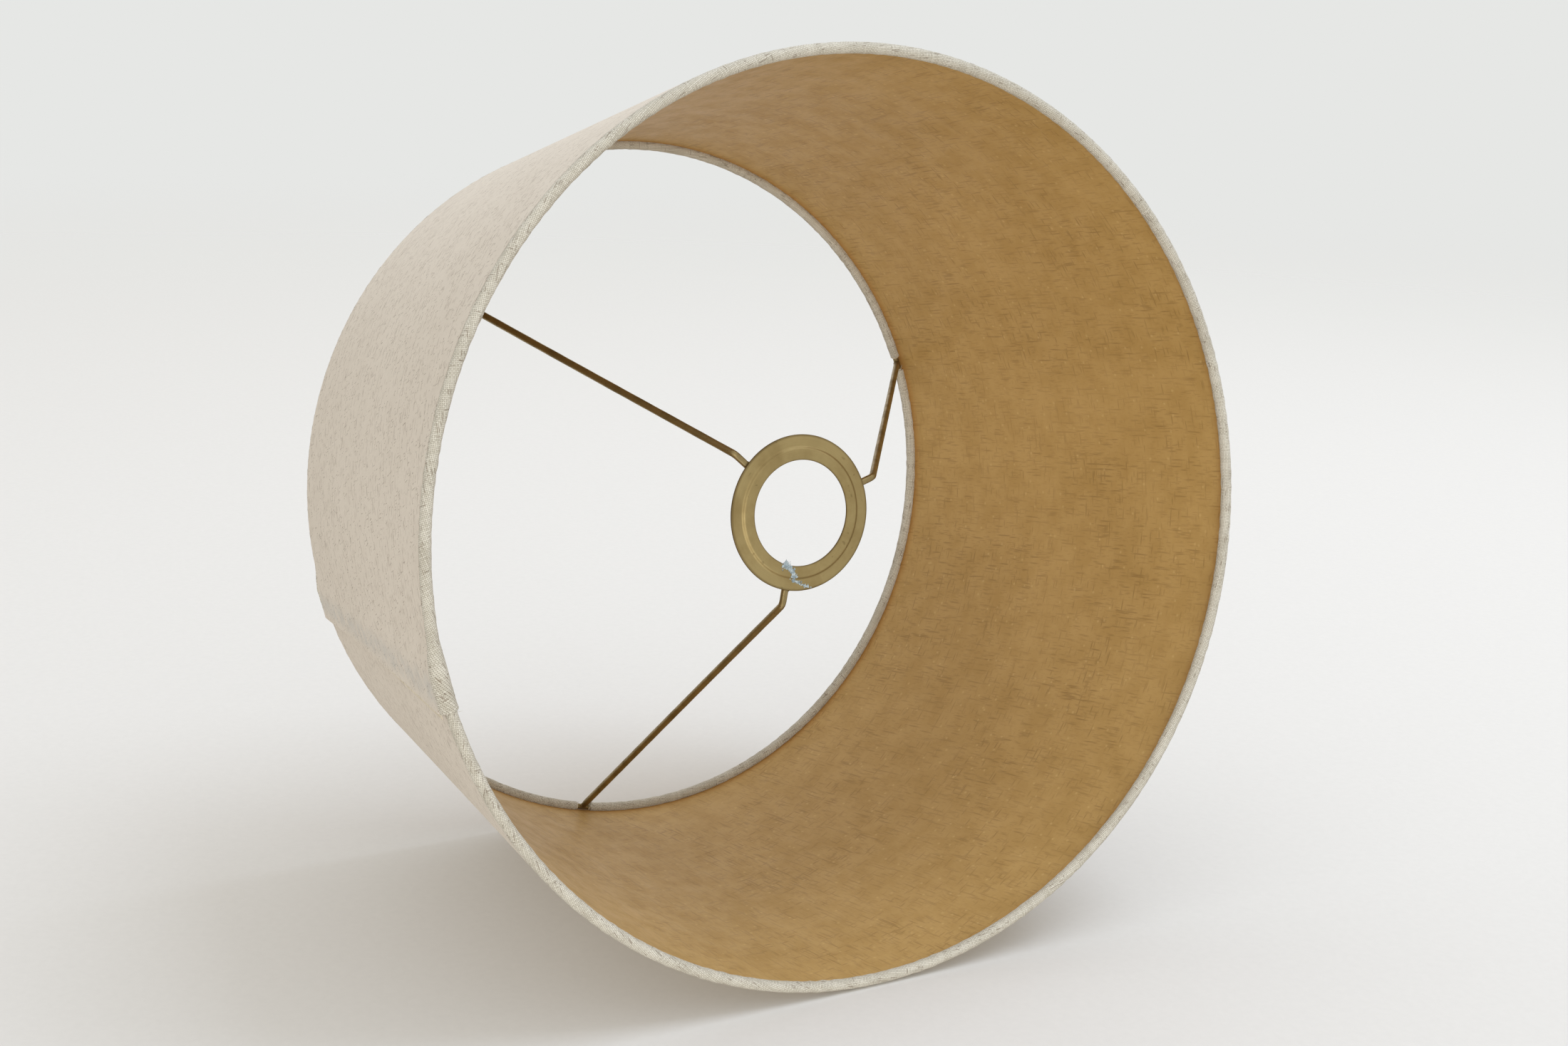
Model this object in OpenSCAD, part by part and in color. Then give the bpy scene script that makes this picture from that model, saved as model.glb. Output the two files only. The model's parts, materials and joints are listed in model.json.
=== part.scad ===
// Tapered drum lamp shade: linen over a gold liner, hems rolled over two wire rings,
// and three spokes that drop from the top ring to a lamp-holder ring.
// It stands on its large rim: the floor is z = 0 and the axis of the shade is the Z axis.
// Angles around the shade are measured from +X towards +Y, and the seam is at the back, +Y.
// All lengths are in millimetres.

/* [Shade] */
// Outside diameter of the large lower rim, over its hem
bottom_d = 355; // [310:1:420]
// Outside diameter of the small upper rim, over its hem
top_d = 303; // [260:1:308]
// Height from hem to hem
shade_h = 200; // [170:1:250]

/* [Panel] */
// Thickness of the linen
linen_t = 0.6; // [0.4:0.05:0.9]
// Thickness of the gold liner laminated inside the linen
liner_t = 0.35; // [0.2:0.05:0.4]
// Width of the glued lap where the ends of the panel meet
lap_w = 13; // [8:1:20]
// Thickness of the double-sided tape in the lap
seam_tape_t = 0.15; // [0.1:0.05:0.3]

/* [Wire frame] */
// Wire diameter of the two rings
ring_wire_d = 2.5; // [2:0.1:3.5]
// Wire diameter of the three spokes
spoke_wire_d = 2.4; // [1.8:0.1:2.4]
// Thickness of the tape wound on the rings
ring_tape_t = 0.25; // [0.1:0.05:0.4]
// Length of bare ring left by the notch in the hem at each spoke
notch_w = 5.5; // [4:0.5:12]

/* [Lamp-holder ring] */
// Diameter of the hole, for an E27 lamp holder
fitter_hole_d = 42; // [28:0.5:44]
// Outside diameter of the stamped flange
fitter_d = 62; // [58:1:66]
// Diameter of the step pressed into the flange
fitter_step_d = 51.5; // [49:0.5:54]
// Height of the pressed step
fitter_step_h = 0.8; // [0.4:0.1:0.9]
// Size of the flange's softened edges
lip_r = 0.25; // [0.1:0.05:0.35]
// Sheet thickness of the flange
fitter_t = 1; // [0.8:0.1:1.5]
// Depth of the flange's upper face below the upper rim
fitter_drop = 147; // [60:1:150]

/* [Hidden] */
$fn = 180;

LINEN = [0.78, 0.75, 0.69];
HEM = [0.74, 0.71, 0.65];
GOLD = [0.66, 0.51, 0.32];
BRASS = [0.55, 0.46, 0.28];
TAPE = [0.9, 0.88, 0.8];

// The rolled hem is the wire, its tape and one turn of linen.
wire_r = ring_wire_d / 2;
tape_r = wire_r + ring_tape_t;
roll_r = tape_r + linen_t;

// Centre lines of the two rings, as [radius, height].
low_ring = [bottom_d / 2 - roll_r, roll_r];
high_ring = [top_d / 2 - roll_r, shade_h - roll_r];

// The panel leans in by this angle. Across it, distances are measured outward from the line
// that joins the two ring centres, and its length runs from one ring centre to the other.
lean = atan2(low_ring[0] - high_ring[0], high_ring[1] - low_ring[1]);
slant = norm(high_ring - low_ring);
liner_in = tape_r - liner_t;
liner_gap = sqrt(pow(tape_r, 2) - pow(liner_in, 2)) + 0.05;
tape_margin = 8;

// The outer end of the panel laps over the inner end from the seam line onward.
// Where the lap starts, the panel steps outward by its own thickness and the tape's.
seam_a = 90;
lap_a = lap_w / low_ring[0] * 180 / PI;
jog_a = 0.45;
end_gap_a = 0.4;
liner_jog_a = seam_a + lap_a;
linen_jog_a = liner_jog_a + jog_a;
inner_end_a = liner_jog_a - end_gap_a;
lap_liner_in = roll_r + seam_tape_t;
lap_linen_in = lap_liner_in + liner_t;
lap_out = lap_linen_in + linen_t;
lap_roll_in = roll_r - linen_t / 2;

// The spokes and the notches in the top hem.
SPOKE_FRONT = 270;
SPOKE_RIGHT = 30;
SPOKE_LEFT = 150;
SPOKES = [SPOKE_RIGHT, SPOKE_LEFT, SPOKE_FRONT];
notch_a = notch_w / high_ring[0] * 180 / PI;

// The flange of the lamp-holder ring, and the spokes that are welded on top of it.
// A foot starts just outside the step, and its knee stands clear of the flange's rim.
foot_clear = 0.75;
knee_clear = 6.2;
spoke_r = spoke_wire_d / 2;
flange_top = shade_h - fitter_drop;
flange_low = flange_top - fitter_t;
foot_z = flange_top + spoke_r;
foot_in = fitter_step_d / 2 + foot_clear;
knee = [fitter_d / 2 + knee_clear, foot_z];
climb = atan2(high_ring[1] - knee[1], high_ring[0] - knee[0]);
spoke_len = norm(high_ring - knee);
knee_swell = 0.25;
bead_r = 1.8;
bead_len = 1.4;
weld_run = 3.6;

// ---- Sections, drawn as [radius, height] and turned about the axis ----

// A section placed in the panel's leaning frame: x outward across it, y up along it.
module on_panel() {
    translate(low_ring)
        rotate(lean)
            children();
}

// The same frame moved to the upper ring and turned over, so that y runs down the panel.
module on_panel_top() {
    translate(high_ring)
        rotate(lean)
            mirror([0, 1])
                children();
}

// A strip of the panel between two distances across it and two distances along it.
module strip(inner, outer, from, to) {
    on_panel()
        translate([inner, from])
            square([outer - inner, to - from]);
}

// A section swept around the axis from one angle to another.
module sweep(from, to) {
    rotate_extrude(start = from, angle = to - from)
        children();
}

// The rolled hem around a ring: an annulus, open where the panel stands in it.
module roll_section(inner, outer) {
    difference() {
        circle(outer);
        circle(inner);
        translate([liner_in, 0])
            square(2 * outer);
    }
}

// The hem's second turn, where the panel's outer end is rolled over its inner end and sinks
// into it. It is pressed flat where it would pass the plane of the rim.
module lap_roll_section(ring, rim_low, rim_high) {
    intersection() {
        children();
        translate([ring[0] - 2 * lap_out, rim_low])
            square([4 * lap_out, rim_high - rim_low]);
    }
}

// ---- Panel ----

module panel_layer(inner, outer, lap_inner, lap_outer, jog_from, margin) {
    end = slant - margin;
    sweep(jog_from, inner_end_a + 360)
        strip(inner, outer, margin, end);
    sweep(jog_from, jog_from + jog_a)
        strip(inner, lap_outer, margin, end);
    sweep(seam_a, jog_from + jog_a)
        strip(lap_inner, lap_outer, margin, end);
}

module linen_panel() {
    color(LINEN)
        panel_layer(tape_r, roll_r, lap_linen_in, lap_out, liner_jog_a, 0);
}

module gold_liner() {
    color(GOLD)
        panel_layer(liner_in, tape_r, lap_liner_in, lap_linen_in, liner_jog_a - jog_a, liner_gap);
}

module seam_tape() {
    color(TAPE)
        sweep(seam_a + end_gap_a, inner_end_a - jog_a - end_gap_a)
            strip(roll_r, lap_liner_in, tape_margin, slant - tape_margin);
}

// ---- Hems ----

module bottom_hem() {
    color(HEM) {
        sweep(linen_jog_a - jog_a, seam_a + jog_a + 360)
            on_panel()
                roll_section(tape_r, roll_r);
        sweep(seam_a, linen_jog_a)
            lap_roll_section(low_ring, 0, shade_h)
                on_panel()
                    roll_section(tape_r, lap_out);
    }
}

module top_hem(from_spoke, to_spoke) {
    sweep(from_spoke + notch_a / 2, to_spoke - notch_a / 2)
        on_panel_top()
            roll_section(tape_r, roll_r);
}

module top_hem_back() {
    color(HEM) {
        top_hem(SPOKE_RIGHT, SPOKE_LEFT);
        sweep(seam_a, linen_jog_a)
            lap_roll_section(high_ring, 0, shade_h)
                on_panel_top()
                    roll_section(lap_roll_in, lap_out);
    }
}

module top_hem_left() {
    color(HEM)
        top_hem(SPOKE_LEFT, SPOKE_FRONT);
}

module top_hem_right() {
    color(HEM)
        top_hem(SPOKE_FRONT, SPOKE_RIGHT + 360);
}

// ---- Rings and their tape ----

module ring(centre) {
    rotate_extrude()
        translate(centre)
            circle(wire_r);
}

module tape_section(centre) {
    translate(centre)
        difference() {
            circle(tape_r);
            circle(wire_r);
        }
}

module bottom_ring() {
    color(BRASS)
        ring(low_ring);
}

module top_ring() {
    color(BRASS)
        ring(high_ring);
}

module bottom_ring_tape() {
    color(TAPE)
        rotate_extrude()
            tape_section(low_ring);
}

module top_ring_tape() {
    color(TAPE)
        for (a = SPOKES)
            sweep(a + notch_a / 2, a + 120 - notch_a / 2)
                tape_section(high_ring);
}

// ---- Lamp-holder ring ----

// The stamped flange: a flat outer part, a pressed step and a lower inner part.
module fitter_ring() {
    step_r = fitter_step_d / 2;
    hole_r = fitter_hole_d / 2;
    color(BRASS)
        rotate_extrude()
            polygon([
                [hole_r, flange_low - fitter_step_h],
                [step_r + lip_r, flange_low - fitter_step_h],
                [step_r + 3 * lip_r, flange_low],
                [fitter_d / 2 - lip_r, flange_low],
                [fitter_d / 2, flange_low + lip_r],
                [fitter_d / 2, flange_top - lip_r],
                [fitter_d / 2 - lip_r, flange_top],
                [step_r - lip_r, flange_top],
                [step_r - 3 * lip_r, flange_top - fitter_step_h],
                [hole_r, flange_top - fitter_step_h]
            ]);
}

// ---- Spokes ----

// One spoke's wire in the plane y = 0: a foot over the flange, a knee that swells a little as
// bent wire does, and a run up to the ring's centre line.
module spoke_wire() {
    translate([foot_in, 0, foot_z])
        rotate([0, 90, 0])
            cylinder(r = spoke_r, h = knee[0] - foot_in);
    translate([knee[0], 0, knee[1]])
        sphere(spoke_r + knee_swell);
    down_from_ring()
        cylinder(r = spoke_r, h = spoke_len);
}

// The frame at the ring's centre line whose z axis runs down a spoke in the plane y = 0.
module down_from_ring() {
    translate([high_ring[0], 0, high_ring[1]])
        rotate([0, -90 - climb, 0])
            children();
}

module spoke(angle) {
    color(BRASS)
        difference() {
            rotate([0, 0, angle])
                spoke_wire();
            ring(high_ring);
        }
}

module spoke_front() {
    spoke(SPOKE_FRONT);
}

module spoke_right() {
    spoke(SPOKE_RIGHT);
}

module spoke_left() {
    spoke(SPOKE_LEFT);
}

// ---- Welds ----

// A bead round each spoke where it meets the top ring.
module top_ring_welds() {
    color(BRASS)
        for (a = SPOKES)
            rotate([0, 0, a])
                down_from_ring()
                    translate([0, 0, wire_r])
                        rotate_extrude()
                            translate([spoke_r, 0])
                                square([bead_r - spoke_r, bead_len]);
}

// A fillet along each side of each foot, between the wire and the flange.
module fitter_welds() {
    seam_clear = 0.2;
    color(BRASS)
        for (a = SPOKES, side = [0, 1])
            rotate([0, 0, a])
                mirror([0, side, 0])
                    difference() {
                        translate([foot_in, seam_clear, flange_top])
                            cube([weld_run, spoke_r - seam_clear, spoke_r / 2]);
                        spoke_wire();
                    }
}

linen_panel();
gold_liner();
seam_tape();
bottom_hem();
top_hem_back();
top_hem_left();
top_hem_right();
bottom_ring();
top_ring();
bottom_ring_tape();
top_ring_tape();
fitter_ring();
spoke_front();
spoke_right();
spoke_left();
top_ring_welds();
fitter_welds();
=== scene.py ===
import json
import math

import bpy
import numpy as np
from mathutils import Matrix, Vector


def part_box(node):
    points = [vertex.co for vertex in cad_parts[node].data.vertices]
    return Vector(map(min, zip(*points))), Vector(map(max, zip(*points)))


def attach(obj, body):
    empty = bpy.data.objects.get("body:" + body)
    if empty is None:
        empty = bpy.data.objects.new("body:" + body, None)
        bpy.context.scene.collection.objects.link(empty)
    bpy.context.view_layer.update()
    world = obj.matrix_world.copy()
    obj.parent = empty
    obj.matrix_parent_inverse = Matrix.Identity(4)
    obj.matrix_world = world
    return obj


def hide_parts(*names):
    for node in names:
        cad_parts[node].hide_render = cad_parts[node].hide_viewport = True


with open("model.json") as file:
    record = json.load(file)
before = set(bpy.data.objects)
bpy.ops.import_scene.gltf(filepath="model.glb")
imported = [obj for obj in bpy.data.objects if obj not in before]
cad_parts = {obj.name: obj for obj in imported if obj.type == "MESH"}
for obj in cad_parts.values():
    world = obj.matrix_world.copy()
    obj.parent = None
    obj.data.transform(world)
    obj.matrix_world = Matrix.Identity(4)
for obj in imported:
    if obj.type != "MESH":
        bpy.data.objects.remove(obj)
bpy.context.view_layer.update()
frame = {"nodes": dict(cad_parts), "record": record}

nodes = frame["nodes"]
mm = 0.001


# ---- Measures taken from the frame ----

def ringLine(node):
    # radius and height of a ring's centre line, and the radius of its wire, from its box
    low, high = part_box(node)
    wireRadius = (high.z - low.z) / 2
    return high.x - wireRadius, (low.z + high.z) / 2, wireRadius


lowRadius, lowHeight, wireRadius = ringLine("bottom_ring")
highRadius, highHeight, _ = ringLine("top_ring")
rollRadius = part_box("top_hem_right")[1].z - highHeight
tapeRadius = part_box("top_ring_tape")[1].z - highHeight
lean = math.atan2(lowRadius - highRadius, highHeight - lowHeight)
slant = math.hypot(lowRadius - highRadius, highHeight - lowHeight)
apexReach = lowRadius / math.sin(lean)  # from the cone's point down to the lower ring
flangeLow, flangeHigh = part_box("fitter_ring")
holeRadius = frame["record"]["mounts"][0]["dims"]["r_mm"] * mm

shade = {
    "seamAngle": 91.0,  # degrees from +X towards +Y
    "seamSkew": 1.9,  # how far the slanting cut end turns from rim to rim
    "lapWidth": 13 * mm,
    "lapLift": 1.1 * mm,  # how far the outer end stands off
    "jogAngle": 4.5,  # over which the panel comes back down past the lap
    "endGap": 0.4,
    "grainAngle": 270.0,  # where the weave runs straight up the panel
    "spokeAngles": {"spoke_front": 270.0, "spoke_right": 30.0, "spoke_left": 150.0},
    "notchWidth": 7.0 * mm,
}
lapAngle = shade["lapWidth"] / lowRadius
jogAngle = math.radians(shade["jogAngle"])
endGap = math.radians(shade["endGap"])


def smooth(low, high, value):
    # 0 below low, 1 above high, and an S between them
    t = np.clip((value - low) / (high - low), 0, 1)
    return t * t * (3 - 2 * t)


def ripple(angle, seed, waves, strength):
    # a sum of cosines round the shade, each with its own phase and a share that falls with its number
    chance = np.random.default_rng(seed)
    counts = chance.integers(waves[0], waves[1], 9)
    phases = chance.uniform(0, 2 * math.pi, 9)
    shares = chance.uniform(0.3, 1.0, 9)
    total = (np.cos(np.asarray(angle)[..., None] * counts + phases) * shares).sum(-1)
    return strength * total / 3


def onPanel(angle, across, along):
    # across is measured outward from the line between the ring centres, along runs up that line
    radius = lowRadius + across * math.cos(lean) - along * math.sin(lean)
    height = lowHeight + across * math.sin(lean) + along * math.cos(lean)
    return np.stack([radius * np.cos(angle), radius * np.sin(angle), height + 0 * angle], -1)


def clothMap(angle, along):
    # the cone unrolled flat: a point's reach from the tip and its turn about it, as x and y in metres
    turn = (angle - math.radians(shade["grainAngle"])) * math.sin(lean)
    reach = apexReach - along
    return np.stack([reach * np.sin(turn), apexReach - reach * np.cos(turn)], -1)


def seamEnd(along):
    # the cut end slants across the seam line, and is ahead of it at the lower rim
    return math.radians(shade["seamAngle"]) + math.radians(shade["seamSkew"]) * (0.5 - along / slant)


def lapLift(fromEnd):
    # 1 on the lap, and 0 past the jog where the panel steps down to its own line
    return 1 - smooth(lapAngle, lapAngle + jogAngle, fromEnd)


# ---- Mesh helpers ----

def addPiece(name, vertices, faces, maps=None, material=None, slot=None, stands=()):
    mesh = bpy.data.meshes.new(name)
    mesh.from_pydata(vertices.tolist(), [], faces)
    mesh.update()
    for mapName, values in (maps or {}).items():
        layer = mesh.uv_layers.new(name=mapName)
        layer.data.foreach_set("uv", np.asarray(values, np.float32).ravel())
    mesh.polygons.foreach_set("use_smooth", np.ones(len(mesh.polygons), bool))
    mesh.set_sharp_from_angle(angle=math.radians(45))
    piece = bpy.data.objects.new(name, mesh)
    bpy.context.scene.collection.objects.link(piece)
    if material:
        mesh.materials.append(material)
    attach(piece, "root")
    if stands:
        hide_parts(*stands)
    return piece


def gridFaces(rows, columns, wrapRows=False, wrapColumns=False, start=0):
    # four corners of each cell of a grid of points, row by row
    r = np.arange(rows if wrapRows else rows - 1)[:, None]
    c = np.arange(columns if wrapColumns else columns - 1)[None, :]
    r2, c2 = (r + 1) % rows, (c + 1) % columns
    corners = [r * columns + c, r2 * columns + c, r2 * columns + c2, r * columns + c2]
    return np.stack(np.broadcast_arrays(*corners), -1).reshape(-1, 4) + start


def outward(points, faces):
    # turns the faces over if the volume that they enclose comes out negative
    a, b, c, d = (points[faces[:, k]] for k in range(4))
    volume = (np.einsum("ij,ij->i", a, np.cross(b, c)) + np.einsum("ij,ij->i", a, np.cross(c, d))).sum()
    return faces if volume > 0 else faces[:, ::-1]


def sheetPiece(name, outer, inner, maps, **settings):
    # two grids of points, the cloth's two sides, joined by a wall round their edges
    rows, columns = outer.shape[:2]
    points = np.concatenate([outer.reshape(-1, 3), inner.reshape(-1, 3)])
    far = rows * columns
    top = gridFaces(rows, columns)
    index = np.arange(far).reshape(rows, columns)
    edge = np.concatenate([index[0, :], index[1:, -1], index[-1, -2::-1], index[-2:0:-1, 0]])
    following = np.roll(edge, -1)
    wall = np.stack([following, edge, edge + far, following + far], -1)
    faces = np.concatenate([top, top[:, ::-1] + far, wall])
    faces = outward(points - points.mean(0), faces)
    mapped = {key: np.concatenate([m.reshape(-1, 2), m.reshape(-1, 2)])[faces] for key, m in maps.items()}
    return addPiece(name, points, faces.tolist(), mapped, **settings)


def tubeGrid(path, radius, sides, across):
    # circles carried along a path; across is a direction that the path never follows
    path = np.asarray(path, float)
    tangent = np.gradient(path, axis=0)
    tangent /= np.linalg.norm(tangent, axis=1)[:, None]
    first = np.cross(tangent, across)
    first /= np.linalg.norm(first, axis=1)[:, None]
    second = np.cross(tangent, first)
    turn = np.linspace(0, 2 * math.pi, sides, endpoint=False)
    ring = np.cos(turn)[None, :, None] * first[:, None] + np.sin(turn)[None, :, None] * second[:, None]
    return path[:, None] + ring * np.asarray(radius, float).reshape(-1, 1, 1)


def closedTube(grid, start=0):
    # a tube's grid with a point at the middle of each end: points and four-cornered faces
    rows, sides = grid.shape[:2]
    points = np.concatenate([grid.reshape(-1, 3), grid[:1].mean(1), grid[-1:].mean(1)])
    faces = gridFaces(rows, sides, wrapColumns=True)
    a = np.arange(0, sides, 2)
    near = np.stack([a, (a + 1) % sides, (a + 2) % sides, np.full_like(a, rows * sides)], -1)
    far = near[:, [0, 3, 2, 1]] + (rows - 1) * sides
    far[:, 1] = rows * sides + 1
    faces = outward(points - points.mean(0), np.concatenate([faces, near, far]))
    return points, faces + start


def joinParts(parts):
    # several closed parts as one list of points and one of faces
    points, faces, start = [], [], 0
    for p, f in parts:
        points.append(p)
        faces.append(f + start)
        start += len(p)
    return np.concatenate(points), np.concatenate(faces)


# ---- Shader helpers ----

def put(tree, kind, inputs=(), **settings):
    made = tree.nodes.new("ShaderNode" + kind)
    for key, value in settings.items():
        setattr(made, key, value)
    for key, value in dict(inputs).items():
        if isinstance(value, bpy.types.NodeSocket):
            tree.links.new(value, made.inputs[key])
        else:
            made.inputs[key].default_value = value
    return made


def sums(tree, operation, *values):
    return put(tree, "Math", dict(enumerate(values)), operation=operation).outputs[0]


def product(tree, first, *others):
    for other in others:
        first = sums(tree, "MULTIPLY", first, other)
    return first


def band(tree, value, low, high):
    # 0 below low, 1 above high, and an S between them
    inputs = {"Value": value, "From Min": low, "From Max": high}
    return put(tree, "MapRange", inputs, interpolation_type="SMOOTHSTEP").outputs[0]


def noise(tree, vector, scale, detail=2.0, roughness=0.5, flat=False):
    inputs = {"Vector": vector, "Scale": scale, "Detail": detail, "Roughness": roughness}
    kind = "2D" if flat else "3D"
    return put(tree, "TexNoise", inputs, noise_dimensions=kind).outputs[0]


def mixColour(tree, share, first, second):
    inputs = {0: share, 6: first, 7: second}
    return put(tree, "Mix", inputs, data_type="RGBA").outputs[2]


def colour(red, green, blue):
    # screen values from 0 to 255, none of them near black, as the light that they stand for
    light = [((value / 255 + 0.055) / 1.055) ** 2.4 for value in (red, green, blue)]
    return (*light, 1)


def newGroup(name, inputs, outputs):
    # a shader node group with named inputs, each a kind and a first value, and named outputs
    group = bpy.data.node_groups.new(name, "ShaderNodeTree")
    for label, (kind, value) in inputs.items():
        socket = group.interface.new_socket(label, in_out="INPUT", socket_type="NodeSocket" + kind)
        if value is not None:
            socket.default_value = value
    for label in outputs:
        group.interface.new_socket(label, in_out="OUTPUT", socket_type="NodeSocketFloat")
    return group, group.nodes.new("NodeGroupInput").outputs, group.nodes.new("NodeGroupOutput").inputs


def useGroup(tree, group, inputs):
    made = tree.nodes.new("ShaderNodeGroup")
    made.node_tree = group
    for key, value in inputs.items():
        if isinstance(value, bpy.types.NodeSocket):
            tree.links.new(value, made.inputs[key])
        else:
            made.inputs[key].default_value = value
    return made.outputs


def splitVector(tree, vector):
    parts = put(tree, "SeparateXYZ", {0: vector}).outputs
    return parts[0], parts[1]


def joinVector(tree, x, y):
    return put(tree, "CombineXYZ", {0: x, 1: y}).outputs[0]


def makeThreadGroup():
    # plain weave: threads a pitch apart each way, one on top in each cell by turns, each with its own tone;
    # the gap output marks the hollows between the threads, where painted shade goes
    group, given, wanted = newGroup("plainWeave", {"Vector": ("Vector", None), "Pitch": ("Float", 0.0005)},
                                    ["Height", "Tone", "GapShade"])
    x, y = splitVector(group, given["Vector"])
    sway = sums(group, "MULTIPLY_ADD", noise(group, given["Vector"], 90.0, 1.0, flat=True), 0.8, -0.4)
    across = sums(group, "ADD", sums(group, "DIVIDE", x, given["Pitch"]), sway)
    along = sums(group, "SUBTRACT", sums(group, "DIVIDE", y, given["Pitch"]), sway)
    warpNumber, weftNumber = sums(group, "FLOOR", across), sums(group, "FLOOR", along)
    onTop = sums(group, "FLOORED_MODULO", sums(group, "ADD", warpNumber, weftNumber), 2.0)
    warpArc = sums(group, "SINE", product(group, sums(group, "FRACT", across), math.pi))
    weftArc = sums(group, "SINE", product(group, sums(group, "FRACT", along), math.pi))
    corner = sums(group, "MAXIMUM", warpArc, weftArc)
    warpRise = product(group, sums(group, "SQRT", warpArc), weftArc)
    weftRise = product(group, sums(group, "SQRT", weftArc), warpArc)
    rise = put(group, "Mix", {0: onTop, 2: weftRise, 3: warpRise}, data_type="FLOAT").outputs[0]
    warpTone = noise(group, joinVector(group, product(group, warpNumber, 3.71),
                                       product(group, y, 60.0)), 1.0, 1.0, flat=True)
    weftTone = noise(group, joinVector(group, product(group, weftNumber, 5.13),
                                       product(group, x, 60.0)), 1.0, 1.0, flat=True)
    tone = put(group, "Mix", {0: onTop, 2: weftTone, 3: warpTone}, data_type="FLOAT").outputs[0]
    group.links.new(rise, wanted["Height"])
    tone = sums(group, "MULTIPLY_ADD", onTop, 0.12, sums(group, "SUBTRACT", tone, 0.06))
    group.links.new(tone, wanted["Tone"])
    group.links.new(sums(group, "SUBTRACT", 1.0, band(group, corner, 0.25, 0.8)), wanted["GapShade"])
    return group


def makeSlubGroup():
    # dashes on single threads that run along x: noise along each thread, cut off at a level
    inputs = {"Vector": ("Vector", None), "Pitch": ("Float", 0.0005), "Length": ("Float", 0.008),
              "Level": ("Float", 0.7), "Softness": ("Float", 0.05)}
    group, given, wanted = newGroup("slubThreads", inputs, ["Mask"])
    x, y = splitVector(group, given["Vector"])
    sway = sums(group, "MULTIPLY_ADD", noise(group, given["Vector"], 60.0, 1.0, flat=True), 1.8, -0.9)
    place = sums(group, "ADD", sums(group, "DIVIDE", y, given["Pitch"]), sway)
    number = sums(group, "FLOOR", place)
    run = joinVector(group, sums(group, "DIVIDE", x, given["Length"]), product(group, number, 7.31))
    found = noise(group, run, 1.0, 1.0, flat=True)
    top = sums(group, "ADD", given["Level"], given["Softness"])
    arc = sums(group, "SINE", product(group, sums(group, "FRACT", place), math.pi))
    mask = product(group, band(group, found, given["Level"], top), sums(group, "SQRT", arc))
    group.links.new(mask, wanted["Mask"])
    return group


def makeFleckGroup():
    # small specks: round cells about random points, kept only where the cell's own chance is high
    inputs = {"Vector": ("Vector", None), "Spacing": ("Float", 0.004), "Size": ("Float", 0.15),
              "Share": ("Float", 0.3)}
    group, given, wanted = newGroup("clothFlecks", inputs, ["Mask"])
    scale = sums(group, "DIVIDE", 1.0, given["Spacing"])
    cells = put(group, "TexVoronoi", {"Vector": given["Vector"], "Scale": scale}, voronoi_dimensions="2D")
    chance = put(group, "SeparateColor", {0: cells.outputs["Color"]}).outputs[0]
    kept = sums(group, "LESS_THAN", chance, given["Share"])
    spot = sums(group, "SUBTRACT", 1.0, band(group, cells.outputs["Distance"], 0.0, given["Size"]))
    group.links.new(product(group, kept, spot), wanted["Mask"])
    return group


def makeMetalWearGroup():
    # dull patches, fine scratches along the first coordinate and small dark spots
    inputs = {"Vector": ("Vector", None), "PatchScale": ("Float", 60.0), "ScratchScale": ("Float", 3000.0)}
    group, given, wanted = newGroup("metalWear", inputs, ["Patch", "Scratch", "Spot"])
    patch = noise(group, given["Vector"], given["PatchScale"], 4.0, 0.6)
    drawn = {0: given["Vector"], 1: (0.03, 1.0, 1.0)}
    stretched = put(group, "VectorMath", drawn, operation="MULTIPLY").outputs[0]
    scratch = noise(group, stretched, given["ScratchScale"], 1.0)
    spot = noise(group, given["Vector"], product(group, given["PatchScale"], 9.0), 1.0)
    group.links.new(band(group, patch, 0.35, 0.7), wanted["Patch"])
    group.links.new(scratch, wanted["Scratch"])
    group.links.new(band(group, spot, 0.68, 0.76), wanted["Spot"])
    return group


threadGroup = makeThreadGroup()
slubGroup = makeSlubGroup()
fleckGroup = makeFleckGroup()
metalWearGroup = makeMetalWearGroup()


def dashes(tree, vector, pitch, length, level, softness):
    inputs = {"Vector": vector, "Pitch": pitch, "Length": length, "Level": level, "Softness": softness}
    return useGroup(tree, slubGroup, inputs)["Mask"]


def specks(tree, vector, spacing, size, share):
    inputs = {"Vector": vector, "Spacing": spacing, "Size": size, "Share": share}
    return useGroup(tree, fleckGroup, inputs)["Mask"]


def newMaterial(name, roughness, metallic=0.0, sheen=0.0, specular=0.5):
    material = bpy.data.materials.new(name)
    material.use_nodes = True
    tree = material.node_tree
    shader = tree.nodes["Principled BSDF"]
    shader.inputs["Roughness"].default_value = roughness
    shader.inputs["Metallic"].default_value = metallic
    shader.inputs["Sheen Weight"].default_value = sheen
    shader.inputs["Sheen Roughness"].default_value = 0.5
    shader.inputs["Specular IOR Level"].default_value = specular
    return material, tree, shader


def addBump(tree, shader, height, distance):
    bump = put(tree, "Bump", {"Height": height, "Strength": 1.0, "Distance": distance})
    tree.links.new(bump.outputs[0], shader.inputs["Normal"])


# gap is the colour of painted shade in the hollows between the threads
linenLook = {
    "body": colour(222, 215, 204), "shadeBody": colour(208, 200, 188), "gap": colour(150, 138, 120),
    "slub": colour(116, 98, 80), "fleck": colour(92, 72, 54), "pitch": 0.55 * mm,
    "gapShadeShare": 0.16, "toneShare": 0.35, "slubShare": 0.7, "bump": 0.03 * mm, "slubLevel": 0.655,
    "slubPitch": 0.3 * mm, "slubAround": 6 * mm, "slubUpward": 5 * mm,
    "fleckSpacing": 5 * mm, "fleckSize": 0.09, "fleckChance": 0.22, "fleckShare": 0.75,
}
# the hem's gaps take much more of that painted shade
hemLook = dict(linenLook)
hemLook.update({
    "body": colour(218, 216, 206), "shadeBody": colour(180, 176, 163), "gap": colour(98, 90, 74),
    "pitch": 0.64 * mm, "gapShadeShare": 0.85, "toneShare": 0.6, "bump": 0.09 * mm, "slubLevel": 0.68,
})

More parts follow.
